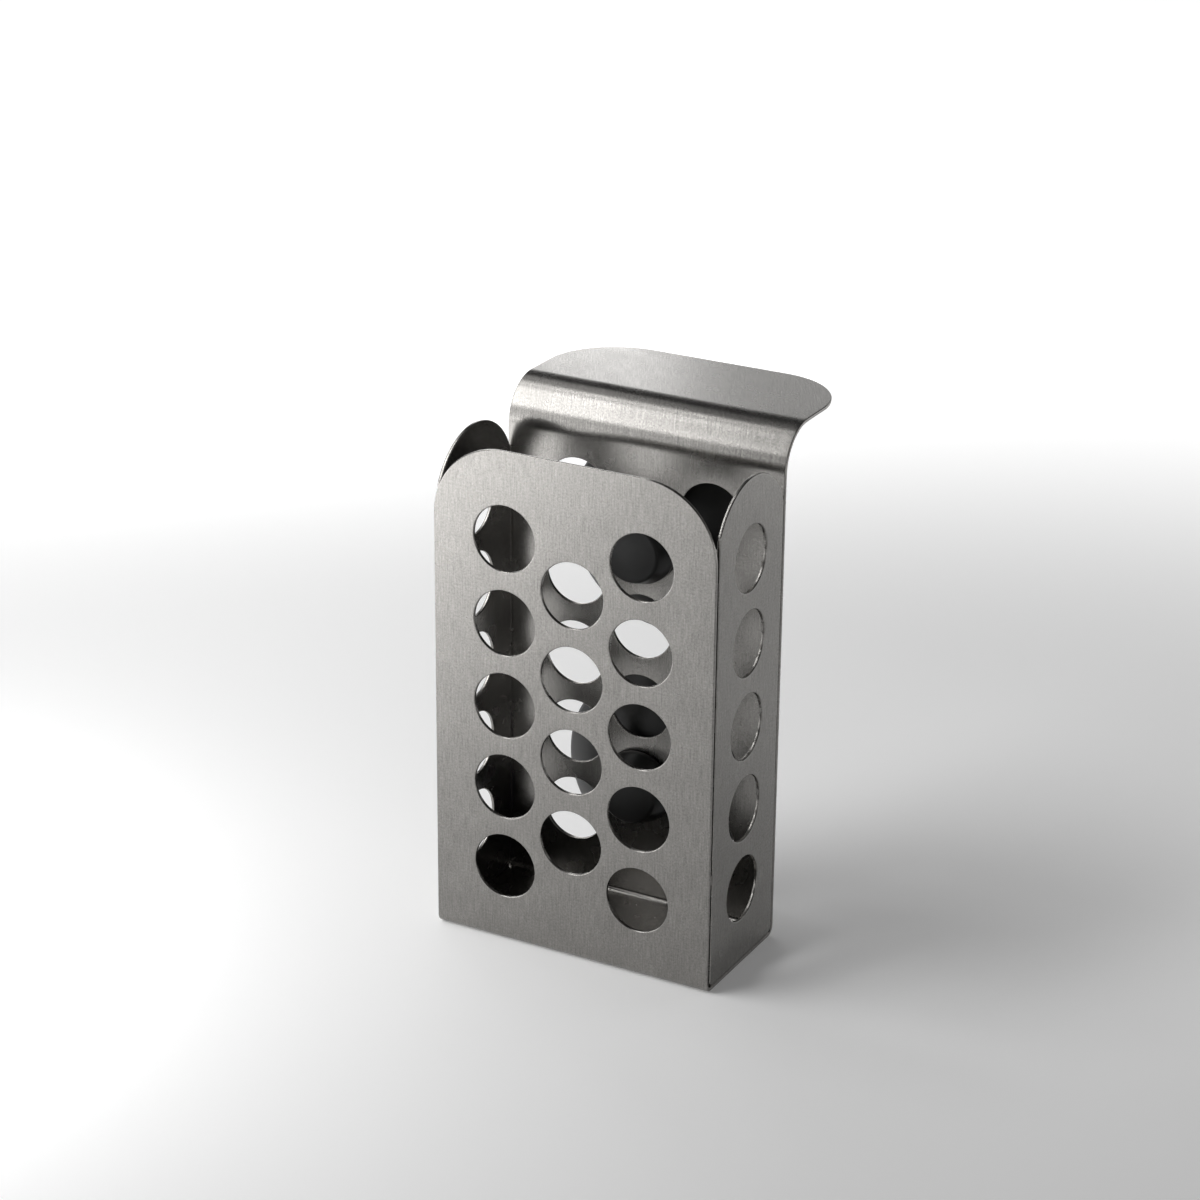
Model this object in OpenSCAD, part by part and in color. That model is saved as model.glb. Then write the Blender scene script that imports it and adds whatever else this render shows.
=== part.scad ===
// Cutlery basket for a sink: a folded perforated strip, two side plates and two suction cups.
// Millimetres, +Z up. The front faces -Y, and the whole part is centred on the Z axis.

/* [Basket] */
// Outside width
basket_w = 80; // [66:1:160]
// Outside depth, from the front face to the back face
basket_d = 38.5; // [34:0.5:90]
// Height of the front panel
front_h = 136.4; // [126:0.1:200]
// Rise of the ledge's top face above the front panel
ledge_rise = 4.1; // [2:0.1:30]
// Reach of the ledge behind the back panel
ledge_reach = 41; // [36:0.5:90]
// Radius of the round corners at the strip's two ends
corner_r = 20; // [4:0.5:28]

/* [Sheet] */
// Thickness of the sheet
sheet_t = 1; // [0.6:0.1:1.5]
// Outside radius of the two bottom bends
bottom_bend_r = 2.5; // [2:0.1:6]
// Outside radius of the bend into the ledge
ledge_bend_r = 12; // [2:0.1:14]

/* [Holes] */
// Diameter of every hole
hole_d = 17.7; // [8:0.1:19]
// Height of the lowest row of holes
lowest_hole_z = 21.8; // [16:0.1:30]
// Distance from the highest row of holes to the top of the front panel
top_margin = 23.3; // [16:0.1:34]
// Rows of holes in the outer columns
hole_rows = 5; // [2:1:5]
// Distance between neighbouring columns
column_pitch = 19.5; // [19:0.1:22]
// How much higher the back panel's holes sit than the front panel's
back_hole_rise = 1; // [0:0.1:3]

/* [Side plates] */
// Drop of a side plate's crown below the top of the front panel
side_drop = 1.8; // [0:0.1:8]
// Open gap between a side plate and the front panel
front_gap = 0.85; // [0.3:0.05:1.5]
// Gap between a side plate and the back panel, which the weld fills in its lower part
back_gap = 0.4; // [0.3:0.05:1.5]
// Gap between a side plate and the floor, which the weld fills
floor_gap = 0.5; // [0.3:0.05:1]

/* [Welds] */
// Height of the front tacks
tack_z = 32; // [10:1:80]
// Length of a front tack
tack_len = 2.6; // [1.5:0.1:8]
// Height that the weld at the back edge reaches
back_seam_top = 47; // [15:1:100]

/* [Suction cups] */
// Diameter of the rim
cup_d = 55; // [40:0.5:60]
// Reach of the rim behind the back panel
cup_reach = 12; // [9:0.1:20]
// Thickness of the rim's edge
rim_t = 1; // [0.5:0.1:2]
// Depth of the hollow on the wall side
hollow_depth = 6.5; // [3:0.1:7]
// Width of the collar's step beyond the edge of the hole
collar_step = 2.6; // [1:0.1:5]
// Width of the head's step beyond the edge of the hole
head_step = 1.2; // [0.6:0.1:3]
// Length of the head inside the basket
head_len = 7; // [3:0.1:12]
// Diameter of the head's flat face
head_face_d = 16; // [8:0.1:18]
// Radius of the edge round the head's flat face
head_edge_r = 1.2; // [0.4:0.1:2]
// Length of the straight band at the head's foot
head_foot = 1.6; // [0.6:0.1:2.5]
// Room round the neck in its hole, and along it at each face of the panel
neck_play = 0.3; // [0.2:0.05:0.6]

/* [Hidden] */

$fn = 96;
// How far a cutter runs past the sheet
over = 1;
// Steps in a rounded stretch of the cup's outline
arc_steps = 10;

steel = "silver";
weld = "darkgray";
rubber = [0.09, 0.09, 0.09];

half_w = basket_w / 2;
mid_y = -basket_d / 2;
ledge_h = front_h + ledge_rise;

// Hole heights: the middle column sits half a pitch above the outer ones and has one hole less
hole_pitch = (front_h - top_margin - lowest_hole_z) / (hole_rows - 1);
outer_zs = [for (i = [0 : hole_rows - 1]) lowest_hole_z + i * hole_pitch];
middle_zs = [for (i = [0 : hole_rows - 2]) lowest_hole_z + (i + 0.5) * hole_pitch];

// Outline of a side plate
side_front_y = -basket_d + sheet_t + front_gap;
side_back_y = -sheet_t - back_gap;
side_foot_z = sheet_t + floor_gap;
side_crown_r = basket_d / 2;
side_crown_z = front_h - side_drop - side_crown_r;
// A plate's bottom corners follow the inside of the bends
side_corner_r = max(bottom_bend_r - sheet_t - floor_gap, 0.2);

// Suction cup, as radii and as distances along its axis from the back panel's outer face
cup_r = cup_d / 2;
neck_r = hole_d / 2 - neck_play;
collar_r = hole_d / 2 + collar_step;
head_r = hole_d / 2 + head_step;
head_back = -sheet_t - neck_play;
head_front = head_back - head_len;
dome_front = neck_play + rim_t;
dome_h = cup_reach - rim_t - dome_front;
dome_sphere_r = (cup_r ^ 2 + dome_h ^ 2) / (2 * dome_h);
hollow_r = cup_r - rim_t;
hollow_top = cup_reach - hollow_depth;
hollow_sphere_r = (hollow_r ^ 2 + hollow_depth ^ 2) / (2 * hollow_depth);

// Place on a spherical cap at radius r, where the cap's crown lies at top
function cap(r, top, sphere_r) = top + sphere_r - sqrt(sphere_r ^ 2 - r ^ 2);

// Points of a cap from radius a to radius b
function cap_points(a, b, top, sphere_r) = [
    for (i = [0 : arc_steps])
        let (r = a + (b - a) * i / arc_steps)
        [r, cap(r, top, sphere_r)]
];

// Points of a round edge about a centre, from one angle to another
function edge_points(centre, r, from, to) = [
    for (i = [0 : arc_steps])
        let (a = from + (to - from) * i / arc_steps)
        centre + r * [cos(a), sin(a)]
];

// Flat sheet of the strip's width, from y = 0 to y = length, with its far corners rounded
module tongue(length) {
    difference() {
        translate([-half_w, 0, 0])
            cube([basket_w, length, sheet_t]);
        for (side = [-1, 1])
            translate([side * (half_w - corner_r), length - corner_r, -over])
                mirror_side(side)
                    corner_cut();
    }
}

// The left side is the right side's mirror image
module mirror_side(side) {
    mirror([side < 0 ? 1 : 0, 0, 0])
        children();
}

// What a round corner takes off a square one
module corner_cut() {
    difference() {
        cube([corner_r + over, corner_r + over, sheet_t + 2 * over]);
        translate([0, 0, -over])
            cylinder(r = corner_r, h = sheet_t + 4 * over);
    }
}

// Quarter bend across the strip about the X axis, turned from the +Y +Z quarter
module bend(outer_r, turn) {
    rotate([turn, 0, 0])
        translate([-half_w, 0, 0])
            rotate([90, 0, 90])
                rotate_extrude(angle = 90)
                    translate([outer_r - sheet_t, 0])
                        square([sheet_t, basket_w]);
}

// Cutters for the holes of the front or back panel, whose outer face is at y
module panel_holes(y, rise = 0) {
    for (x = [-column_pitch, column_pitch], z = outer_zs)
        panel_hole(x, y, z + rise);
    for (z = middle_zs)
        panel_hole(0, y, z + rise);
}

module panel_hole(x, y, z) {
    translate([x, y, z])
        rotate([90, 0, 0])
            cylinder(d = hole_d, h = 2 * (sheet_t + over), center = true);
}

module strip() {
    floor_len = basket_d - 2 * bottom_bend_r;
    ledge_start = ledge_bend_r - sheet_t;
    bend_z = ledge_h - ledge_bend_r;
    color(steel)
        difference() {
            union() {
                // Front panel
                translate([0, sheet_t - basket_d, bottom_bend_r])
                    rotate([90, 0, 0])
                        tongue(front_h - bottom_bend_r);
                translate([0, bottom_bend_r - basket_d, bottom_bend_r])
                    bend(bottom_bend_r, 180);
                // Floor
                translate([-half_w, bottom_bend_r - basket_d, 0])
                    cube([basket_w, floor_len, sheet_t]);
                translate([0, -bottom_bend_r, bottom_bend_r])
                    bend(bottom_bend_r, 270);
                // Back panel
                translate([-half_w, -sheet_t, bottom_bend_r])
                    cube([basket_w, sheet_t, bend_z - bottom_bend_r]);
                translate([0, ledge_start, bend_z])
                    bend(ledge_bend_r, 90);
                // Ledge
                translate([0, ledge_start, ledge_h - sheet_t])
                    tongue(ledge_reach - ledge_start);
            }
            panel_holes(-basket_d);
            panel_holes(0, back_hole_rise);
        }
}

// Right-hand side plate: straight below, fully round above
module side_plate() {
    plate_x = half_w - sheet_t;
    plate_d = side_back_y - side_front_y;
    difference() {
        intersection() {
            union() {
                translate([plate_x, mid_y, side_crown_z])
                    rotate([0, 90, 0])
                        cylinder(r = side_crown_r, h = sheet_t);
                translate([plate_x, -basket_d, 0])
                    cube([sheet_t, basket_d, side_crown_z]);
            }
            side_blank(plate_x - over, plate_d);
        }
        for (z = outer_zs)
            translate([plate_x - over, mid_y, z])
                rotate([0, 90, 0])
                    cylinder(d = hole_d, h = sheet_t + 2 * over);
    }
}

// Upright slab between the two panels, with its bottom corners rounded
module side_blank(x, depth) {
    thick = sheet_t + 2 * over;
    translate([x, side_front_y, side_foot_z + side_corner_r])
        cube([thick, depth, front_h]);
    translate([x, side_front_y + side_corner_r, side_foot_z])
        cube([thick, depth - 2 * side_corner_r, front_h]);
    for (y = [side_front_y + side_corner_r, side_back_y - side_corner_r])
        translate([x, y, side_foot_z + side_corner_r])
            rotate([0, 90, 0])
                cylinder(r = side_corner_r, h = thick);
}

module side_left() {
    color(steel)
        mirror([1, 0, 0])
            side_plate();
}

module side_right() {
    color(steel)
        side_plate();
}

// Weld spot with round ends in the gap behind the front panel
module front_tack() {
    intersection() {
        translate([half_w - sheet_t, side_front_y, tack_z])
            rotate([0, 90, 0])
                cylinder(d = tack_len, h = sheet_t);
        translate([half_w - sheet_t, side_front_y - front_gap, tack_z - tack_len / 2])
            cube([sheet_t, front_gap, tack_len]);
    }
}

module tack_front_left() {
    color(weld)
        mirror([1, 0, 0])
            front_tack();
}

module tack_front_right() {
    color(weld)
        front_tack();
}

// Weld in the lower part of the gap in front of the back panel
module back_seam() {
    seam_foot = max(bottom_bend_r, side_foot_z + side_corner_r);
    translate([half_w - sheet_t, side_back_y, seam_foot])
        cube([sheet_t, back_gap, back_seam_top - seam_foot]);
}

module seam_back_left() {
    color(weld)
        mirror([1, 0, 0])
            back_seam();
}

module seam_back_right() {
    color(weld)
        back_seam();
}

// Weld between the floor and the straight part of a side plate's foot
module floor_seam() {
    front_end = side_front_y + max(side_corner_r, bottom_bend_r - sheet_t - front_gap);
    back_end = side_back_y - max(side_corner_r, bottom_bend_r - sheet_t - back_gap);
    translate([half_w - sheet_t, front_end, sheet_t])
        cube([sheet_t, back_end - front_end, floor_gap]);
}

module seam_floor_left() {
    color(weld)
        mirror([1, 0, 0])
            floor_seam();
}

module seam_floor_right() {
    color(weld)
        floor_seam();
}

// Half outline of a cup: the head, the neck in its hole, the collar, and the dome with its hollow
function cup_outline() = concat(
    [[0, head_front]],
    edge_points([head_face_d / 2 - head_edge_r, head_front + head_edge_r], head_edge_r, -90, -15),
    [
        [head_r, head_back - head_foot],
        [head_r, head_back],
        [neck_r, head_back],
        [neck_r, neck_play],
        [collar_r, neck_play]
    ],
    cap_points(collar_r, cup_r, dome_front, dome_sphere_r),
    [[cup_r, cup_reach]],
    cap_points(hollow_r, 0, hollow_top, hollow_sphere_r)
);

// Cup in the back panel's hole that belongs to a row of the middle column
module suction_cup(row) {
    color(rubber)
        translate([0, 0, middle_zs[row] + back_hole_rise])
            rotate([-90, 0, 0])
                rotate_extrude()
                    polygon(cup_outline());
}

module cup_upper() {
    suction_cup(len(middle_zs) - 1);
}

module cup_lower() {
    suction_cup(0);
}

// The modules have the back panel's outer face at y = 0, and this centres the whole part
translate([0, (basket_d - ledge_reach) / 2, 0]) {
    strip();
    side_left();
    side_right();
    tack_front_left();
    tack_front_right();
    seam_back_left();
    seam_back_right();
    seam_floor_left();
    seam_floor_right();
    cup_upper();
    cup_lower();
}
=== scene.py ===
"""Looks of a sink cutlery basket: brushed sheet steel with rounded edges and black rubber suction cups."""

import math

import bmesh
import bpy
from bpy.props import FloatProperty, FloatVectorProperty, IntProperty, PointerProperty
from mathutils import Matrix, Vector


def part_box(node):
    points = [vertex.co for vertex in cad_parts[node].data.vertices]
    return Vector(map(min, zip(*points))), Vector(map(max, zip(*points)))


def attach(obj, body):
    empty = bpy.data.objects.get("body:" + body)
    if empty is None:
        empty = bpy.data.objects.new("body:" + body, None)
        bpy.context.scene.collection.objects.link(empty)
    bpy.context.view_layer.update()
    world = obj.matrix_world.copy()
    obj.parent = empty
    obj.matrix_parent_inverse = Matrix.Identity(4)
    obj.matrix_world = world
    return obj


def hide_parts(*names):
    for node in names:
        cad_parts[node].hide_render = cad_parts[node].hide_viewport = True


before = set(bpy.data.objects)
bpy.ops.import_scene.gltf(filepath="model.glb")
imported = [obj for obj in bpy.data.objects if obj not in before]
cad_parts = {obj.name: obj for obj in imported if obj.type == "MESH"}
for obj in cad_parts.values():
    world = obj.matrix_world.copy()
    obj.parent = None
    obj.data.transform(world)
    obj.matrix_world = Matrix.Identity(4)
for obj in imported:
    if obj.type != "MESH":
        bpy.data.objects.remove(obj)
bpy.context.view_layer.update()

bl_info = {
    "name": "Sink cutlery basket",
    "version": (1, 0, 0),
    "blender": (4, 5, 0),
    "location": "3D View > Sidebar > Basket",
    "description": "Builds the sheet steel, the welds, the rubber cups and the stage of a cutlery basket",
    "category": "Add Mesh",
}

MM = 0.001
GRAIN_UV = "grain"

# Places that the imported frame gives
STRIP_LOW, STRIP_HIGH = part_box("strip")
SIDE_LOW, SIDE_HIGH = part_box("side_right")
CUP_LOW, CUP_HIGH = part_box("cup_upper")
SHEET = SIDE_HIGH.x - SIDE_LOW.x
HALF_WIDTH = STRIP_HIGH.x
# Outer faces of the front and back panels: the back seam ends at the back panel's inner face
FRONT_Y = STRIP_LOW.y
BACK_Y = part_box("seam_back_right")[1].y + SHEET
DEPTH = BACK_Y - FRONT_Y

# How finely round lines are divided
CORNER_STEPS = 24
HOLE_STEPS = 64
CROWN_STEPS = 48
SMALL_STEPS = 6
EDGE_STEPS = 3
BEND_STEPS = 15
PROFILE_STEPS = 5
DOME_STEPS = 20
TURN_STEPS = 96
BEAD_CORNER_STEPS = 4
RIPPLE_STEPS = 4
LEAST_BEAD_STEPS = 12

# Edges sharper than this are cut edges of the sheet
CUT_ANGLE = math.radians(60)
# Rounding of a bead's corners across the gap, as a share of their rounding outwards
BEAD_FLATNESS = 0.6
# Share of a bead's width that is left at its round ends
BEAD_END = 0.2
# How far the stage's floor lies below the basket
FLOOR_DROP = 0.05 * MM

# Nearly all of the noise lies between these values
NOISE_LOW, NOISE_HIGH = 0.3, 0.7
# Values of the noise between which the rubber's bloom grows
BLOOM_LOW, BLOOM_HIGH = 0.35, 0.75
# Darkest and lightest tones, as shares of the colour
WELD_DARK, WELD_LIGHT = 0.7, 1.15
RUBBER_DARK, RUBBER_LIGHT = 0.8, 1.5

# Softboxes: place and aim in metres, then width and height
SOFTBOXES = {
    "pool": ((-0.292, -0.35, 0.05), (-0.292, -0.35, 0), 0.21, 0.26),
    "near": ((-0.22, -0.16, 0.09), (-0.17, -0.14, 0), 0.13, 0.14),
    "tall": ((-0.475, -0.37, 0.72), (-0.475, 0, 0.135), 0.28, 0.72),
    "low": ((-0.475, -0.72, 0.30), (-0.475, 0, 0.135), 0.28, 0.46),
    "rim": ((-0.389, 0.373, 0.217), (0, 0.02, 0.14), 0.38, 0.24),
    "tail": ((-0.20, 0.52, 0.30), (0, 0.02, 0.14), 0.2, 0.24),
    "over": ((-0.475, 0.05, 0.95), (-0.475, 0, 0.135), 0.28, 0.14),
    "fill": ((0.16, 0.14, 0.12), (0.12, 0.12, 0), 0.1, 0.1),
    "top": ((-0.56, 0.20, 0.80), (-0.56, 0, 0.135), 0.45, 0.4),
}
# Brightness of the studio's walls by the height of the direction
SKY_STOPS = ((0.12, 0.6), (0.3, 0.22), (0.5, 0.07), (0.8, 0.045))


def length(name, description, default, low, high):
    """A size in millimetres, kept in metres."""
    return FloatProperty(
        name=name,
        description=description,
        default=default * MM,
        min=low * MM,
        max=high * MM,
        precision=5,
        subtype="DISTANCE",
        unit="LENGTH",
    )


def angle(name, description, default):
    """An angle in degrees, kept in radians."""
    return FloatProperty(
        name=name, description=description, default=math.radians(default), subtype="ANGLE", unit="ROTATION"
    )


def share(name, description, default):
    """A number from 0 to 1."""
    return FloatProperty(
        name=name, description=description, default=default, min=0, max=1, subtype="FACTOR"
    )


def lens_size(name, description, default, low, high):
    """A size of the camera in millimetres."""
    return FloatProperty(
        name=name, description=description, default=default, min=low, max=high, unit="CAMERA"
    )


def colour(name, description, default):
    """A linear colour."""
    return FloatVectorProperty(
        name=name, description=description, default=default, size=3, min=0, max=1, subtype="COLOR"
    )


def power(name, description, default):
    """The power of a lamp in watts."""
    return FloatProperty(name=name, description=description, default=default, min=0, unit="POWER")


class SheetSizes(bpy.types.PropertyGroup):
    """Sizes of the folded strip and the side plates."""

    front_height: length("Front height", "Height of the front panel", 136.4, 100, 200)
    corner_radius: length("Corner radius", "Radius of the strip's round ends", 20, 4, 28)
    bottom_bend: length("Bottom bend", "Outside radius of the two bottom bends", 2.5, 2, 6)
    ledge_bend: length("Ledge bend", "Outside radius of the bend into the ledge", 12, 2, 14)
    hole_diameter: length("Hole diameter", "Diameter of every hole", 17.7, 8, 19)
    lowest_hole: length("Lowest hole", "Height of the lowest row of holes", 21.8, 16, 30)
    top_margin: length("Top margin", "From the highest row of holes to the top of the front", 23.3, 16, 34)
    hole_rows: IntProperty(
        name="Rows", description="Rows of holes in the outer columns", default=5, min=2, max=5
    )
    column_pitch: length("Column pitch", "Distance between neighbouring columns", 19.5, 19, 22)
    back_rise: length("Back rise", "How much higher the back panel's holes sit", 1, 0, 3)
    edge_radius: length("Edge radius", "Rounding of the sheet's cut edges", 0.28, 0.05, 0.4)
    side_corner: length("Side corner", "Radius of a side plate's bottom corners", 1, 0.2, 3)


class WeldSizes(bpy.types.PropertyGroup):
    """Sizes of the weld beads."""

    lap: length("Lap", "How far a bead laps over the sheets' rounded edges", 0.28, 0, 0.5)
    sunk: length("Sunk", "How far a bead's ground face lies below the plate's", 0.04, 0.01, 0.2)
    corner: length("Corner", "Rounding of a bead's long edges", 0.12, 0.02, 0.3)
    ripple_pitch: length("Ripple pitch", "Distance from one ripple to the next", 1.1, 0.3, 4)
    ripple_depth: length("Ripple depth", "Depth of the ripples", 0.05, 0, 0.2)


class CupSizes(bpy.types.PropertyGroup):
    """Sizes of a suction cup."""

    neck_radius: length("Neck radius", "Radius of the neck in its hole", 8.55, 4, 9)
    collar_radius: length("Collar radius", "Radius of the collar behind the panel", 11.45, 9, 14)
    head_radius: length("Head radius", "Radius of the head at its foot", 10.05, 9, 12)
    face_radius: length("Face radius", "Radius of the head's flat face", 8, 4, 9)
    head_foot: length("Head foot", "Straight band at the head's foot", 1.6, 0.6, 2.5)
    play: length("Play", "Room between the cup and the panel's faces", 0.3, 0.2, 0.6)
    rim: length("Rim", "Thickness of the rim's edge", 1, 0.5, 2)
    hollow: length("Hollow", "Depth of the hollow on the wall side", 6.5, 3, 7)
    head_edge: length("Head edge", "Rounding of the head's edges", 1.1, 0.2, 1.4)
    small_edge: length("Small edge", "Rounding of the neck's and collar's edges", 0.35, 0.1, 0.5)
    rim_edge: length("Rim edge", "Rounding of the rim", 0.4, 0.1, 0.5)
    lip_step: length("Lip step", "Step from the sealing lip into the hollow", 0.35, 0.1, 1)
    lip_edge: length("Lip edge", "Rounding of the step's corners", 0.12, 0.02, 0.3)
    gate_radius: length("Gate radius", "Radius of the moulding mark in the hollow", 1.8, 0.5, 4)
    gate_height: length("Gate height", "Height of the moulding mark", 0.5, 0.1, 1.5)


class SteelFinish(bpy.types.PropertyGroup):
    """Colours, grain and gloss of the sheet steel and the welds."""

    steel: colour("Steel", "Brushed sheet steel", (0.265, 0.257, 0.245))
    weld: colour("Weld", "Ground weld metal", (0.22, 0.21, 0.20))
    grain_width: length("Grain width", "Spacing of the brushed lines", 0.3, 0.05, 2)
    grain_length: length("Grain length", "Length of the brushed lines", 6, 1, 100)
    grain_depth: length("Grain depth", "Depth of the brushed lines", 0.004, 0, 0.1)
    grain_relief: share("Grain relief", "How strongly the lines bend the light", 0.25)
    ledge_lean: share("Ledge lean", "Lean of the lines on the ledge, sideways per length", 0.54)
    speckle_size: length("Speckle size", "Size of the fine speckle over the lines", 0.55, 0.05, 2)
    speckle_share: share("Speckle share", "Share of the speckle in the grain", 0.4)
    cloud_size: length("Cloud size", "Size of the soft clouds in the finish", 9, 1, 50)
    cloud_share: share("Cloud share", "Share of the clouds in the colour", 0.12)
    contrast: share("Contrast", "How far the grain's colour strays from the steel's", 0.36)
    smoothest: share("Smoothest", "Roughness of the glossiest places", 0.23)
    roughest: share("Roughest", "Roughness of the dullest places", 0.29)
    stretch: share("Stretch", "How much the brushed lines stretch the reflections", 0.45)
    weld_roughness: share("Weld roughness", "Roughness of the weld metal", 0.42)
    weld_mottle: length("Weld mottle", "Size of the weld metal's mottling", 1.1111, 0.1, 5)
    weld_depth: length("Weld depth", "Depth of the weld metal's mottling", 0.02, 0, 0.1)
    weld_relief: share("Weld relief", "How strongly the mottling bends the light", 0.4)


class RubberFinish(bpy.types.PropertyGroup):
    """Colour and texture of the rubber."""

    rubber: colour("Rubber", "Moulded black rubber", (0.01, 0.01, 0.01))
    pore_size: length("Pore size", "Size of the moulded texture", 0.4, 0.1, 2)
    pore_depth: length("Pore depth", "Depth of the moulded texture", 0.02, 0, 0.1)
    pore_relief: share("Pore relief", "How strongly the texture bends the light", 0.3)
    bloom_size: length("Bloom size", "Size of the faint bloom", 7.1429, 1, 30)
    smoothest: share("Smoothest", "Roughness of the glossiest places", 0.3)
    roughest: share("Roughest", "Roughness of the dullest places", 0.42)
    reflection: share("Reflection", "Level of the surface reflection", 0.35)


class StageSizes(bpy.types.PropertyGroup):
    """Camera, floor and lights of the studio."""

    azimuth: angle("Azimuth", "Turn of the camera from the front towards the right", 28.503)
    elevation: angle("Elevation", "Height of the camera above the horizon", 22.274)
    roll: angle("Roll", "Turn of the camera about its own axis", 0.529)
    distance: length("Distance", "From the camera to the point it looks at", 810.3, 100, 5000)
    aim_x: length("Aim X", "Place across the front that the camera looks at", 8.02, -100, 100)
    aim_z: length("Aim Z", "Height that the camera looks at", 102.3, 0, 300)
    sensor: lens_size("Sensor", "Width of the camera's sensor", 36, 10, 100)
    lens: lens_size("Lens", "Focal length of the lens", 98.194, 10, 300)
    floor: colour("Floor", "Colour of the floor", (0.92, 0.92, 0.92))
    floor_size: length("Floor size", "Width of the floor", 12000, 1000, 40000)
    glow_front: length("Glow front", "How far in front of the basket the glow's middle lies", 150, 0, 1000)
    glow_start: length("Glow start", "From that middle to where the floor turns white", 330, 0, 2000)
    glow_end: length("Glow end", "From that middle to where the floor is white", 750, 100, 4000)
    glow_low: share("Glow low", "Strength of the glow near the basket", 0.1)
    glow_high: share("Glow high", "Strength of the glow where the floor is white", 0.85)
    pool_power: power("Pool", "Power of the low softbox over the floor at the front left", 0.62)
    near_power: power("Near", "Power of the low softbox over the floor at the left", 0.26)
    tall_power: power("Tall", "Power of the tall softbox at the upper left", 4.0)
    low_power: power("Low", "Power of the softbox at the height of the ledge", 0.8)
    rim_power: power("Rim", "Power of the softbox behind the ledge", 0.65)
    tail_power: power("Tail", "Power of the dim softbox to the right of the one behind the ledge", 0.08)
    over_power: power("Over", "Power of the narrow softbox above the tall one", 0.46)
    fill_power: power("Fill", "Power of the small softbox over the floor at the back right", 0.03)
    top_power: power("Top", "Power of the dim softbox overhead", 0.55)


def new_object(name, mesh, material):
    """Link a mesh to the scene as a smooth object with one material."""
    piece = bpy.data.objects.new(name, mesh)
    bpy.context.scene.collection.objects.link(piece)
    mesh.materials.append(material)
    mesh.shade_smooth()
    return piece


def finish_piece(piece, body, node):
    """Let a piece stand for a node and move with its body."""
    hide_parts(node)
    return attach(piece, body)


def to_mesh(bm, name):
    """Turn a bmesh into a mesh whose normals point outwards."""
    bmesh.ops.recalc_face_normals(bm, faces=bm.faces[:])
    mesh = bpy.data.meshes.new(name)
    bm.to_mesh(mesh)
    bm.free()
    return mesh


def arc(centre, radius, start, end, steps):
    """Points of an arc in the plane, angles in degrees."""
    turns = [math.radians(start + (end - start) * i / steps) for i in range(steps + 1)]
    return [(centre[0] + radius * math.cos(a), centre[1] + radius * math.sin(a)) for a in turns]


def circle(centre, radius):
    """Points of a hole's circle in the plane."""
    return arc(centre, radius, 0, 360, HOLE_STEPS)[:-1]


def hole_heights(sizes):
    """Heights of the holes in the outer columns and in the middle column."""
    pitch = (sizes.front_height - sizes.top_margin - sizes.lowest_hole) / (sizes.hole_rows - 1)
    outer = [sizes.lowest_hole + i * pitch for i in range(sizes.hole_rows)]
    return outer, [z + pitch / 2 for z in outer[:-1]]


def sheet_plate(outline, holes, cuts, edge_radius):
    """Flat sheet with rounded cut edges, as a bmesh: across, along and through the sheet."""
    bm = bmesh.new()
    edges = []
    for loop in [outline, *holes]:
        verts = [bm.verts.new((u, v, 0)) for u, v in loop]
        edges += [bm.edges.new(pair) for pair in zip(verts, verts[1:] + verts[:1])]
    bmesh.ops.triangle_fill(bm, use_beauty=True, edges=edges, normal=(0, 0, 1))
    for v in cuts:
        everything = bm.verts[:] + bm.edges[:] + bm.faces[:]
        bmesh.ops.bisect_plane(bm, geom=everything, plane_co=(0, v, 0), plane_no=(0, 1, 0))
    bmesh.ops.recalc_face_normals(bm, faces=bm.faces[:])
    bmesh.ops.solidify(bm, geom=bm.faces[:], thickness=SHEET)
    low = min(v.co.z for v in bm.verts)
    bmesh.ops.translate(bm, verts=bm.verts[:], vec=(0, 0, -SHEET / 2 - low))
    rim = [e for e in bm.edges if len(e.link_faces) == 2 and e.calc_face_angle() > CUT_ANGLE]
    bmesh.ops.bevel(
        bm,
        geom=rim,
        offset=edge_radius,
        offset_type="OFFSET",
        segments=EDGE_STEPS,
        profile=0.5,
        affect="EDGES",
    )
    bmesh.ops.recalc_face_normals(bm, faces=bm.faces[:])
    return bm


def place_sheet(bm, name, place, slant=None):
    """Turn a flat sheet into a mesh: its own plane becomes the grain's UV, and place folds it."""
    grain = bm.loops.layers.uv.new(GRAIN_UV)
    for face in bm.faces:
        for loop in face.loops:
            across, along, _ = loop.vert.co
            loop[grain].uv = (across + (slant(along) if slant else 0), along)
    for vert in bm.verts:
        vert.co = place(*vert.co)
    return to_mesh(bm, name)


def soften(piece):
    """Keep broad faces flat in shading while their rounded edges catch the light."""
    weights = piece.modifiers.new("edge normals", "WEIGHTED_NORMAL")
    weights.mode = "FACE_AREA"
    return piece


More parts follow.
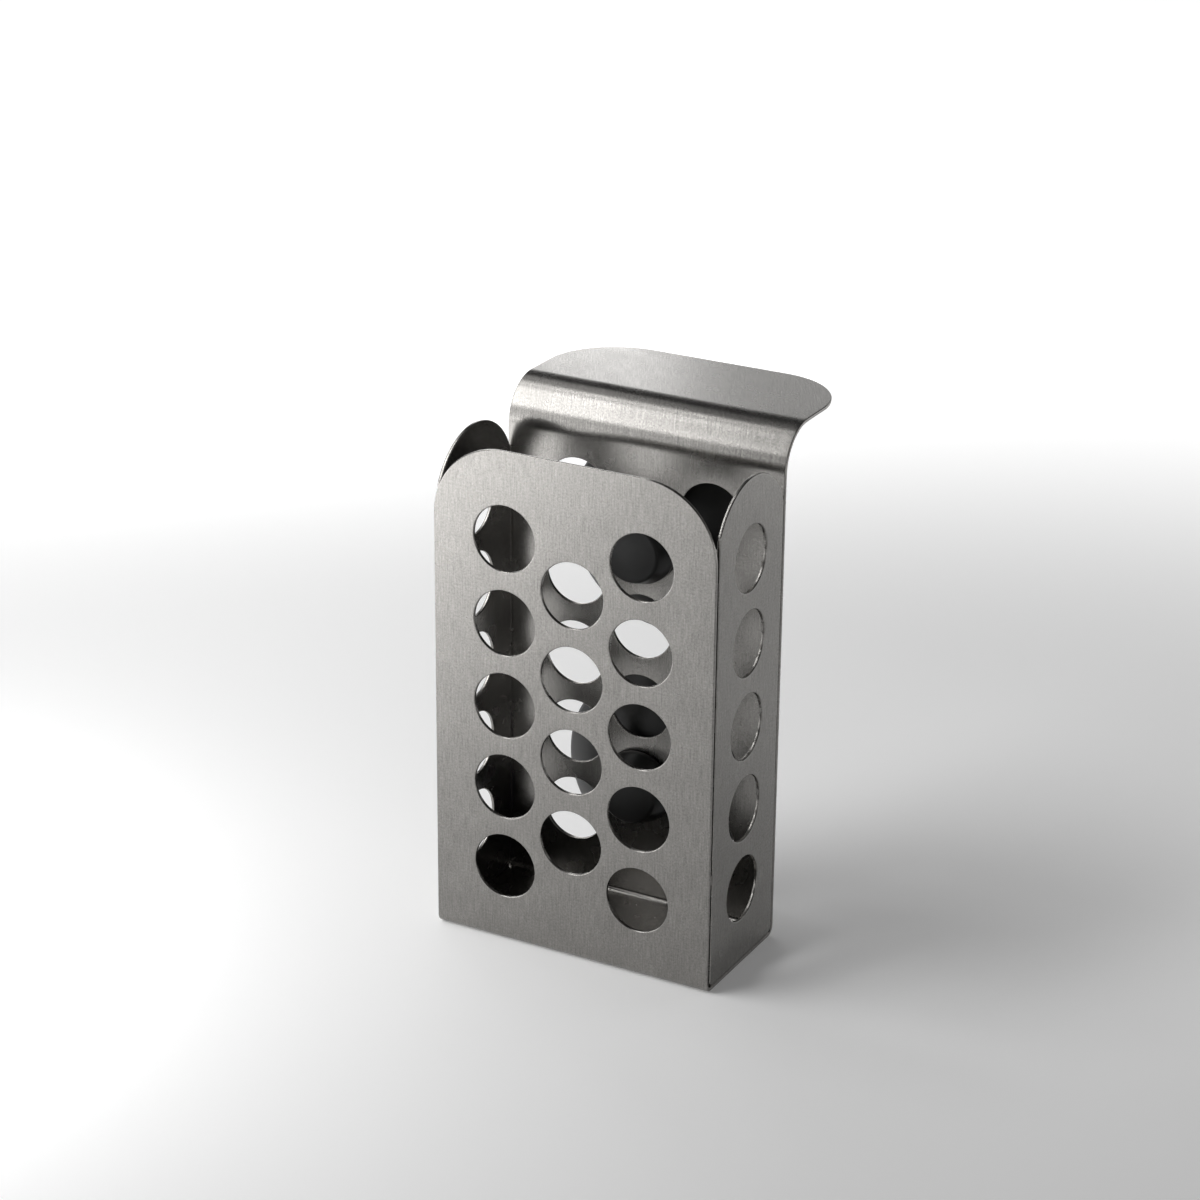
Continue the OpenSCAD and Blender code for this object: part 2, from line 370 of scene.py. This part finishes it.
class StripFold:
    """The strip's path: straight runs and quarter bends from the top of the front to the ledge's end."""

    def __init__(self, sizes, lean):
        self.lean = lean
        middle = SHEET / 2
        bottom = sizes.bottom_bend - middle
        ledge = sizes.ledge_bend - middle
        quarter = math.pi / 2
        # Each run is its length, its turn to the left in radians and its middle radius
        self.runs = [
            (sizes.front_height - sizes.bottom_bend, 0, 0),
            (bottom * quarter, quarter, bottom),
            (DEPTH - 2 * sizes.bottom_bend, 0, 0),
            (bottom * quarter, quarter, bottom),
            (STRIP_HIGH.z - sizes.ledge_bend - sizes.bottom_bend, 0, 0),
            (ledge * quarter, -quarter, ledge),
            (STRIP_HIGH.y - BACK_Y - (sizes.ledge_bend - SHEET), 0, 0),
        ]
        self.back_run = 4
        self.ledge_bend_run = 5
        self.start = Vector((FRONT_Y + middle, sizes.front_height))
        self.total = self.run_start(len(self.runs))

    def run_start(self, index):
        """Where a run begins along the strip."""
        return sum(run[0] for run in self.runs[:index])

    def bend_cuts(self):
        """Places across the bends where the flat strip is divided so that it folds smoothly."""
        cuts = []
        for i, (run, turn, _) in enumerate(self.runs):
            if turn:
                cuts += [self.run_start(i) + run * j / BEND_STEPS for j in range(BEND_STEPS + 1)]
        return cuts

    def grain_slant(self, along):
        """Sideways shift of the grain: none up to the ledge's bend, then lines that lean on the ledge."""
        bend = self.runs[self.ledge_bend_run][0]
        past = max(along - self.run_start(self.ledge_bend_run), 0)
        if past < bend:
            return self.lean * past**2 / (2 * bend)
        return self.lean * (past - bend / 2)

    def place(self, across, along, through):
        """A point of the flat strip in the folded one. Through is positive towards the outside."""
        at = self.start.copy()
        heading = -math.pi / 2
        left = along
        for run, turn, radius in self.runs:
            part = min(left, run)
            if turn:
                sign = math.copysign(1, turn)
                centre = at + sign * radius * Vector((-math.sin(heading), math.cos(heading)))
                heading += sign * part / radius
                at = centre + sign * radius * Vector((math.sin(heading), -math.cos(heading)))
            else:
                at = at + part * Vector((math.cos(heading), math.sin(heading)))
            left -= part
            if left <= 0:
                break
        outward = Vector((math.sin(heading), -math.cos(heading)))
        spot = at + through * outward
        return Vector((across, spot.x, spot.y))


def strip_outline(sizes, total):
    """The flat strip's outline, with all four corners rounded."""
    radius = sizes.corner_radius
    inner = HALF_WIDTH - radius
    corners = [
        ((inner, radius), -90, 0),
        ((inner, total - radius), 0, 90),
        ((-inner, total - radius), 90, 180),
        ((-inner, radius), 180, 270),
    ]
    outline = []
    for centre, start, end in corners:
        outline += arc(centre, radius, start, end, CORNER_STEPS)
    return outline


def strip_holes(sizes, fold):
    """Circles of the front and back panels' holes on the flat strip."""
    outer, middle = hole_heights(sizes)
    spots = [(x, z) for x in (-sizes.column_pitch, sizes.column_pitch) for z in outer]
    spots += [(0, z) for z in middle]
    back_start = fold.run_start(fold.back_run) - sizes.bottom_bend + sizes.back_rise
    radius = sizes.hole_diameter / 2
    front = [circle((x, sizes.front_height - z), radius) for x, z in spots]
    back = [circle((x, back_start + z), radius) for x, z in spots]
    return front + back


def side_outline(sizes):
    """Outline of a side plate: round top, straight edges and small bottom corners."""
    low, high = SIDE_LOW, SIDE_HIGH
    small = sizes.side_corner
    radius = DEPTH / 2
    crown = ((FRONT_Y + BACK_Y) / 2, high.z - radius)
    back_angle = math.degrees(math.acos((high.y - crown[0]) / radius))
    front_angle = math.degrees(math.acos((low.y - crown[0]) / radius))
    return [
        *arc((high.y - small, low.z + small), small, -90, 0, SMALL_STEPS),
        *arc(crown, radius, back_angle, front_angle, CROWN_STEPS),
        *arc((low.y + small, low.z + small), small, 180, 270, SMALL_STEPS),
    ]


def revolve(profile, name):
    """Mesh of a profile of radius and place along Y, turned about the Y axis."""
    bm = bmesh.new()
    turns = [2 * math.pi * i / TURN_STEPS for i in range(TURN_STEPS)]
    rings = []
    for radius, y in profile:
        if radius == 0:
            rings.append([bm.verts.new((0, y, 0))])
        else:
            rings.append([bm.verts.new((radius * math.cos(a), y, radius * math.sin(a))) for a in turns])
    for first, second in zip(rings, rings[1:]):
        for i in range(TURN_STEPS):
            j = (i + 1) % TURN_STEPS
            corners = [first[i % len(first)], first[j % len(first)]]
            corners += [second[j % len(second)], second[i % len(second)]]
            # A ring of one point gives triangles
            bm.faces.new(list(dict.fromkeys(corners)))
    return to_mesh(bm, name)


def bead_rings(half_run, half_gap, half_width, sizes):
    """Place along a bead, half width across the gap and half height of each ring."""
    steps = max(LEAST_BEAD_STEPS, round(2 * RIPPLE_STEPS * half_run / sizes.ripple_pitch))
    rings = []
    for i in range(steps + 1):
        place = -half_run + 2 * half_run * i / steps
        # Round ends: the last half gap of the run narrows like a circle
        past = max(abs(place) - (half_run - half_gap), 0) / half_gap
        narrow = max(math.sqrt(max(1 - past**2, 0)), BEAD_END)
        swell = sizes.ripple_depth * (0.5 - 0.5 * math.cos(2 * math.pi * place / sizes.ripple_pitch))
        rings.append((place, half_gap * narrow, half_width - swell))
    return rings


def bead_mesh(name, low, high, sizes):
    """Bead that fills the box of a weld, laps over both sheets and has ripples and round ends."""
    size = high - low
    gap, width, run = sorted(range(3), key=lambda axis: size[axis])
    middle = (low + high) / 2
    half_gap = size[gap] / 2 + sizes.lap
    half_width = size[width] / 2 - sizes.sunk
    round_across, round_out = sizes.corner * BEAD_FLATNESS, sizes.corner
    bm = bmesh.new()
    loops = []
    for place, across, out in bead_rings(size[run] / 2, half_gap, half_width, sizes):
        inner_across, inner_out = across - round_across, out - round_out
        corners = [
            (inner_across, inner_out, 0),
            (-inner_across, inner_out, 90),
            (-inner_across, -inner_out, 180),
            (inner_across, -inner_out, 270),
        ]
        loop = []
        for u, v, start in corners:
            for a, b in arc((0, 0), 1, start, start + 90, BEAD_CORNER_STEPS):
                spot = middle.copy()
                spot[gap] += u + a * round_across
                spot[width] += v + b * round_out
                spot[run] += place
                loop.append(bm.verts.new(spot))
        loops.append(loop)
    for first, second in zip(loops, loops[1:]):
        for i in range(len(first)):
            j = (i + 1) % len(first)
            bm.faces.new((first[i], first[j], second[j], second[i]))
    bm.faces.new(loops[0])
    bm.faces.new(loops[-1])
    return to_mesh(bm, name)


def rounded(points):
    """A line through points of place and corner radius, with the corners turned into arcs."""
    line = []
    for i, (x, y, radius) in enumerate(points):
        here = Vector((x, y))
        if radius == 0 or i in (0, len(points) - 1):
            line.append((x, y))
            continue
        to_last = (Vector(points[i - 1][:2]) - here).normalized()
        to_next = (Vector(points[i + 1][:2]) - here).normalized()
        half = to_last.angle(to_next) / 2
        reach = radius / math.tan(half)
        centre = here + (to_last + to_next).normalized() * radius / math.sin(half)
        begin = here + to_last * reach - centre
        end = here + to_next * reach - centre
        for j in range(PROFILE_STEPS + 1):
            line.append(tuple(centre + radius * begin.slerp(end, j / PROFILE_STEPS, begin)))
    return line


def cap_line(first, last, top, depth, edge):
    """Points on a spherical cap of that depth at radius edge, from radius first to radius last."""
    ball = (edge**2 + depth**2) / (2 * depth)
    radii = [first + (last - first) * i / DOME_STEPS for i in range(DOME_STEPS + 1)]
    return [(r, top + ball - math.sqrt(ball**2 - r**2), 0) for r in radii]


def cup_profile(sizes):
    """Half outline of a cup, from the middle of the head's face round to the middle of the hollow."""
    rim_radius = CUP_HIGH.x
    face_y = CUP_LOW.y
    rim_y = CUP_HIGH.y
    head_back = BACK_Y - SHEET - sizes.play
    collar_y = BACK_Y + sizes.play
    dome_top = collar_y + sizes.rim
    dome = cap_line(sizes.collar_radius, rim_radius, dome_top, rim_y - sizes.rim - dome_top, rim_radius)
    lip_radius = rim_radius - sizes.rim
    hollow_edge = lip_radius - sizes.lip_step / 2
    hollow_depth = sizes.hollow - sizes.lip_step
    hollow = cap_line(hollow_edge, sizes.gate_radius, rim_y - sizes.hollow, hollow_depth, hollow_edge)
    gate_y = hollow[-1][1] + sizes.gate_height
    return rounded(
        [
            (0, face_y, 0),
            (sizes.face_radius, face_y, sizes.head_edge),
            (sizes.head_radius, head_back - sizes.head_foot, sizes.head_edge),
            (sizes.head_radius, head_back, sizes.small_edge),
            (sizes.neck_radius, head_back, sizes.small_edge),
            (sizes.neck_radius, collar_y, sizes.small_edge),
            (sizes.collar_radius, collar_y, sizes.small_edge),
            *dome,
            (rim_radius, rim_y, sizes.rim_edge),
            (lip_radius, rim_y, sizes.lip_edge),
            *hollow,
            (sizes.gate_radius - sizes.lip_edge, gate_y, sizes.lip_edge),
            (0, gate_y, 0),
        ]
    )


def new_material(name):
    """A new material with its node tree and its main shader."""
    made = bpy.data.materials.new(name)
    made.use_nodes = True
    return made, made.node_tree, made.node_tree.nodes["Principled BSDF"]


def add_node(tree, kind, links=None, **values):
    """Add a node, set its fields, and feed its sockets from values or from other sockets."""
    made = tree.nodes.new(kind)
    for field, value in values.items():
        setattr(made, field, value)
    feed(tree, made, links or {})
    return made


def feed(tree, node, links):
    """Feed the sockets of a node from values or from other sockets."""
    for socket, source in links.items():
        if isinstance(source, bpy.types.NodeSocket):
            tree.links.new(source, node.inputs[socket])
        else:
            node.inputs[socket].default_value = source


def noise(tree, place, size, **sockets):
    """Soft noise whose features have that size."""
    links = {"Vector": place, "Scale": 1 / size}
    links.update({socket.capitalize(): value for socket, value in sockets.items()})
    return add_node(tree, "ShaderNodeTexNoise", links).outputs["Fac"]


def tone_ramp(tree, source, low, high):
    """Colour that runs from a low stop to a high one, each a position and a colour."""
    ramp = add_node(tree, "ShaderNodeValToRGB", {"Fac": source})
    for stop, (position, shade) in zip(ramp.color_ramp.elements, (low, high)):
        stop.position = position
        stop.color = (*shade, 1)
    return ramp.outputs["Color"]


def relief(tree, height, strength, distance):
    """Normal of a surface with that height map."""
    links = {"Height": height, "Strength": strength, "Distance": distance}
    return add_node(tree, "ShaderNodeBump", links).outputs["Normal"]


def brushed_steel(name, finish):
    """Sheet steel with long fine lines along the grain, seen in colour, gloss and relief."""
    made, tree, shader = new_material(name)
    uv = add_node(tree, "ShaderNodeUVMap", uv_map=GRAIN_UV).outputs["UV"]
    scale = (1 / finish.grain_width, 1 / finish.grain_length, 1)
    along = add_node(tree, "ShaderNodeMapping", {"Vector": uv, "Scale": scale}).outputs["Vector"]
    lines = noise(tree, along, 1, detail=4.0, roughness=0.65)
    speckle = noise(tree, uv, finish.speckle_size, detail=1.0)
    cloud = noise(tree, uv, finish.cloud_size, detail=3.0)
    grain = add_node(
        tree, "ShaderNodeMix", {"Factor": finish.speckle_share, "A": lines, "B": speckle}
    ).outputs["Result"]
    mottle = add_node(
        tree, "ShaderNodeMix", {"Factor": finish.cloud_share, "A": grain, "B": cloud}
    ).outputs["Result"]
    gloss = add_node(
        tree,
        "ShaderNodeMapRange",
        {
            "Value": cloud,
            "From Min": NOISE_LOW,
            "From Max": NOISE_HIGH,
            "To Min": finish.smoothest,
            "To Max": finish.roughest,
        },
    )
    tangent = add_node(tree, "ShaderNodeTangent", direction_type="UV_MAP", uv_map=GRAIN_UV)
    base = Vector(finish.steel)
    dark = (NOISE_LOW, base * (1 - finish.contrast))
    light = (NOISE_HIGH, base * (1 + finish.contrast))
    feed(
        tree,
        shader,
        {
            "Base Color": tone_ramp(tree, mottle, dark, light),
            "Roughness": gloss.outputs["Result"],
            "Normal": relief(tree, grain, finish.grain_relief, finish.grain_depth),
            "Tangent": tangent.outputs["Tangent"],
            "Metallic": 1.0,
            "Anisotropic": finish.stretch,
        },
    )
    return made


def ground_weld(finish):
    """Weld metal, a little darker and rougher than the sheet, with a mottled surface."""
    made, tree, shader = new_material("ground_weld")
    place = add_node(tree, "ShaderNodeTexCoord").outputs["Object"]
    mottle = noise(tree, place, finish.weld_mottle, detail=3.0)
    base = Vector(finish.weld)
    feed(
        tree,
        shader,
        {
            "Base Color": tone_ramp(tree, mottle, (0, base * WELD_DARK), (1, base * WELD_LIGHT)),
            "Normal": relief(tree, mottle, finish.weld_relief, finish.weld_depth),
            "Metallic": 1.0,
            "Roughness": finish.weld_roughness,
        },
    )
    return made


def moulded_rubber(finish):
    """Black rubber with a fine moulded texture and faint bloom."""
    made, tree, shader = new_material("moulded_rubber")
    place = add_node(tree, "ShaderNodeTexCoord").outputs["Object"]
    pores = noise(tree, place, finish.pore_size, detail=3.0)
    bloom = noise(tree, place, finish.bloom_size, detail=3.0)
    gloss = add_node(
        tree, "ShaderNodeMapRange", {"Value": bloom, "To Min": finish.smoothest, "To Max": finish.roughest}
    )
    base = Vector(finish.rubber)
    dark = (BLOOM_LOW, base * RUBBER_DARK)
    light = (BLOOM_HIGH, base * RUBBER_LIGHT)
    feed(
        tree,
        shader,
        {
            "Base Color": tone_ramp(tree, bloom, dark, light),
            "Roughness": gloss.outputs["Result"],
            "Normal": relief(tree, pores, finish.pore_relief, finish.pore_depth),
            "Specular IOR Level": finish.reflection,
        },
    )
    return made


def pale_floor(stage):
    """Matt studio floor with a painted glow: an emission seen by camera, glossy and transmission rays that
    grows away from the basket, so the floor turns white far off while the lamps' real shadow stays beside
    it.
    """
    made, tree, shader = new_material("pale_floor")
    feed(tree, shader, {"Base Color": (*stage.floor, 1), "Roughness": 0.9, "Specular IOR Level": 0.1})
    place = add_node(tree, "ShaderNodeTexCoord").outputs["Object"]
    away = add_node(tree, "ShaderNodeVectorMath", {0: place}, operation="LENGTH").outputs["Value"]
    # Painted glow, not a lamp: its strength grows with the distance from the glow's middle and shows in
    # the steel's reflections too
    glow = add_node(
        tree,
        "ShaderNodeMapRange",
        {
            "Value": away,
            "From Min": stage.glow_start,
            "From Max": stage.glow_end,
            "To Min": stage.glow_low,
            "To Max": stage.glow_high,
        },
        interpolation_type="SMOOTHSTEP",
    )
    rays = add_node(tree, "ShaderNodeLightPath").outputs
    seen = add_node(
        tree, "ShaderNodeMath", {0: rays["Is Camera Ray"], 1: rays["Is Glossy Ray"]}, operation="MAXIMUM"
    )
    seen = add_node(
        tree, "ShaderNodeMath", {0: seen.outputs[0], 1: rays["Is Transmission Ray"]}, operation="MAXIMUM"
    )
    strength = add_node(
        tree, "ShaderNodeMath", {0: glow.outputs["Result"], 1: seen.outputs[0]}, operation="MULTIPLY"
    )
    white = add_node(tree, "ShaderNodeEmission", {"Strength": strength.outputs[0]})
    both = add_node(tree, "ShaderNodeAddShader", {0: shader.outputs["BSDF"], 1: white.outputs["Emission"]})
    feed(tree, tree.nodes["Material Output"], {"Surface": both.outputs["Shader"]})
    return made


def soft_light(name, place, aim, width, height, watts):
    """A rectangular softbox that faces a point."""
    lamp = bpy.data.lights.new(name, "AREA")
    lamp.shape = "RECTANGLE"
    lamp.size = width
    lamp.size_y = height
    lamp.energy = watts
    holder = bpy.data.objects.new(name, lamp)
    bpy.context.scene.collection.objects.link(holder)
    holder.location = place
    holder.visible_camera = False
    holder.rotation_mode = "QUATERNION"
    holder.rotation_quaternion = (Vector(aim) - Vector(place)).to_track_quat("-Z", "Y")


def studio_sky():
    """Pale walls that grow dark towards the ceiling."""
    world = bpy.data.worlds.new("studio")
    bpy.context.scene.world = world
    world.use_nodes = True
    tree = world.node_tree
    direction = add_node(tree, "ShaderNodeTexCoord").outputs["Generated"]
    height = add_node(tree, "ShaderNodeSeparateXYZ", {"Vector": direction}).outputs["Z"]
    first, *between, last = [(position, (level, level, level)) for position, level in SKY_STOPS]
    walls = tone_ramp(tree, height, first, last)
    for position, shade in between:
        walls.node.color_ramp.elements.new(position).color = (*shade, 1)
    feed(tree, tree.nodes["Background"], {"Color": walls})


class CUTLERY_BASKET_OT_stage(bpy.types.Operator):
    """Add the floor, the lights and the camera"""

    bl_idname = "cutlery_basket.stage"
    bl_label = "Stage"

    def execute(self, context):
        stage = context.scene.basket_stage
        self.add_floor(context, stage)
        for name, shape in SOFTBOXES.items():
            soft_light(name + "_softbox", *shape, getattr(stage, name + "_power"))
        studio_sky()
        self.add_camera(context, stage)
        context.scene.view_settings.view_transform = "Standard"
        return {"FINISHED"}

    def add_floor(self, context, stage):
        """Floor just under the basket, with the glow's middle as its own middle."""
        half = stage.floor_size / 2
        corners = [(-half, -half, 0), (half, -half, 0), (half, half, 0), (-half, half, 0)]
        mesh = bpy.data.meshes.new("floor")
        mesh.from_pydata(corners, [], [(0, 1, 2, 3)])
        mesh.materials.append(pale_floor(stage))
        floor = bpy.data.objects.new("floor", mesh)
        floor.location = (0, -stage.glow_front, STRIP_LOW.z - FLOOR_DROP)
        context.scene.collection.objects.link(floor)

    def add_camera(self, context, stage):
        """Camera at the photograph's angle."""
        data = bpy.data.cameras.new("camera")
        data.sensor_width = stage.sensor
        data.lens = stage.lens
        camera = bpy.data.objects.new("camera", data)
        context.scene.collection.objects.link(camera)
        level = math.cos(stage.elevation)
        back = Vector(
            (math.sin(stage.azimuth) * level, -math.cos(stage.azimuth) * level, math.sin(stage.elevation))
        )
        turn = (-back).to_track_quat("-Z", "Y").to_matrix().to_4x4()
        aim = Vector((stage.aim_x, FRONT_Y, stage.aim_z))
        roll = Matrix.Rotation(stage.roll, 4, "Z")
        camera.matrix_world = Matrix.Translation(aim + back * stage.distance) @ turn @ roll
        context.scene.camera = camera


class CUTLERY_BASKET_OT_strip(bpy.types.Operator):
    """Add the folded strip: front panel, floor, back panel and ledge"""

    bl_idname = "cutlery_basket.strip"
    bl_label = "Folded strip"

    def execute(self, context):
        sizes = context.scene.basket_sheet
        finish = context.scene.basket_steel
        fold = StripFold(sizes, finish.ledge_lean)
        outline = strip_outline(sizes, fold.total)
        bm = sheet_plate(outline, strip_holes(sizes, fold), fold.bend_cuts(), sizes.edge_radius)
        mesh = place_sheet(bm, "folded_strip", fold.place, fold.grain_slant)
        piece = new_object("folded_strip", mesh, brushed_steel("brushed_strip", finish))
        finish_piece(soften(piece), "basket", "strip")
        return {"FINISHED"}


class CUTLERY_BASKET_OT_side_plates(bpy.types.Operator):
    """Add the two round-topped side plates"""

    bl_idname = "cutlery_basket.side_plates"
    bl_label = "Side plates"

    def execute(self, context):
        sizes = context.scene.basket_sheet
        steel = brushed_steel("brushed_side", context.scene.basket_steel)
        outer, _ = hole_heights(sizes)
        mid_y = (FRONT_Y + BACK_Y) / 2
        holes = [circle((mid_y, z), sizes.hole_diameter / 2) for z in outer]
        for side, sign in (("left", -1), ("right", 1)):
            name = "side_plate_" + side
            middle = sign * (HALF_WIDTH - SHEET / 2)
            bm = sheet_plate(side_outline(sizes), holes, [], sizes.edge_radius)
            mesh = place_sheet(bm, name, lambda y, z, through: Vector((middle + through, y, z)))
            piece = new_object(name, mesh, steel)
            finish_piece(soften(piece), "basket", "side_" + side)
        return {"FINISHED"}


class CUTLERY_BASKET_OT_welds(bpy.types.Operator):
    """Add the front tacks and the ground seams"""

    bl_idname = "cutlery_basket.welds"
    bl_label = "Welds"

    def execute(self, context):
        sizes = context.scene.basket_weld
        steel = ground_weld(context.scene.basket_steel)
        for side in ("left", "right"):
            for kind in ("tack_front_", "seam_back_", "seam_floor_"):
                node = kind + side
                mesh = bead_mesh("bead_" + node, *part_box(node), sizes)
                piece = new_object("bead_" + node, mesh, steel)
                finish_piece(soften(piece), "basket", node)
        return {"FINISHED"}


class CUTLERY_BASKET_OT_cups(bpy.types.Operator):
    """Add the two suction cups"""

    bl_idname = "cutlery_basket.cups"
    bl_label = "Suction cups"

    def execute(self, context):
        rubber = moulded_rubber(context.scene.basket_rubber)
        profile = cup_profile(context.scene.basket_cup)
        for place in ("upper", "lower"):
            name = "suction_cup_" + place
            low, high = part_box("cup_" + place)
            piece = new_object(name, revolve(profile, name), rubber)
            piece.location.z = (low.z + high.z) / 2
            finish_piece(piece, place + "_cup", "cup_" + place)
        return {"FINISHED"}


class CUTLERY_BASKET_PT_panel(bpy.types.Panel):
    """Buttons for the basket's pieces"""

    bl_idname = "CUTLERY_BASKET_PT_panel"
    bl_label = "Cutlery basket"
    bl_space_type = "VIEW_3D"
    bl_region_type = "UI"
    bl_category = "Basket"

    def draw(self, context):
        for operator in OPERATORS:
            self.layout.operator(operator.bl_idname)


GROUPS = {
    "basket_sheet": SheetSizes,
    "basket_weld": WeldSizes,
    "basket_cup": CupSizes,
    "basket_steel": SteelFinish,
    "basket_rubber": RubberFinish,
    "basket_stage": StageSizes,
}
OPERATORS = [
    CUTLERY_BASKET_OT_stage,
    CUTLERY_BASKET_OT_strip,
    CUTLERY_BASKET_OT_side_plates,
    CUTLERY_BASKET_OT_welds,
    CUTLERY_BASKET_OT_cups,
]
CLASSES = [*GROUPS.values(), *OPERATORS, CUTLERY_BASKET_PT_panel]


def register():
    """Add the classes and the scene's settings."""
    for made in CLASSES:
        bpy.utils.register_class(made)
    for name, group in GROUPS.items():
        setattr(bpy.types.Scene, name, PointerProperty(type=group))


def unregister():
    """Take the settings and the classes away again."""
    for name in GROUPS:
        delattr(bpy.types.Scene, name)
    for made in reversed(CLASSES):
        bpy.utils.unregister_class(made)


def main():
    """Build the whole basket on its stage."""
    register()
    bpy.ops.cutlery_basket.stage()
    bpy.ops.cutlery_basket.strip()
    bpy.ops.cutlery_basket.side_plates()
    bpy.ops.cutlery_basket.welds()
    bpy.ops.cutlery_basket.cups()


if __name__ == "__main__":
    main()
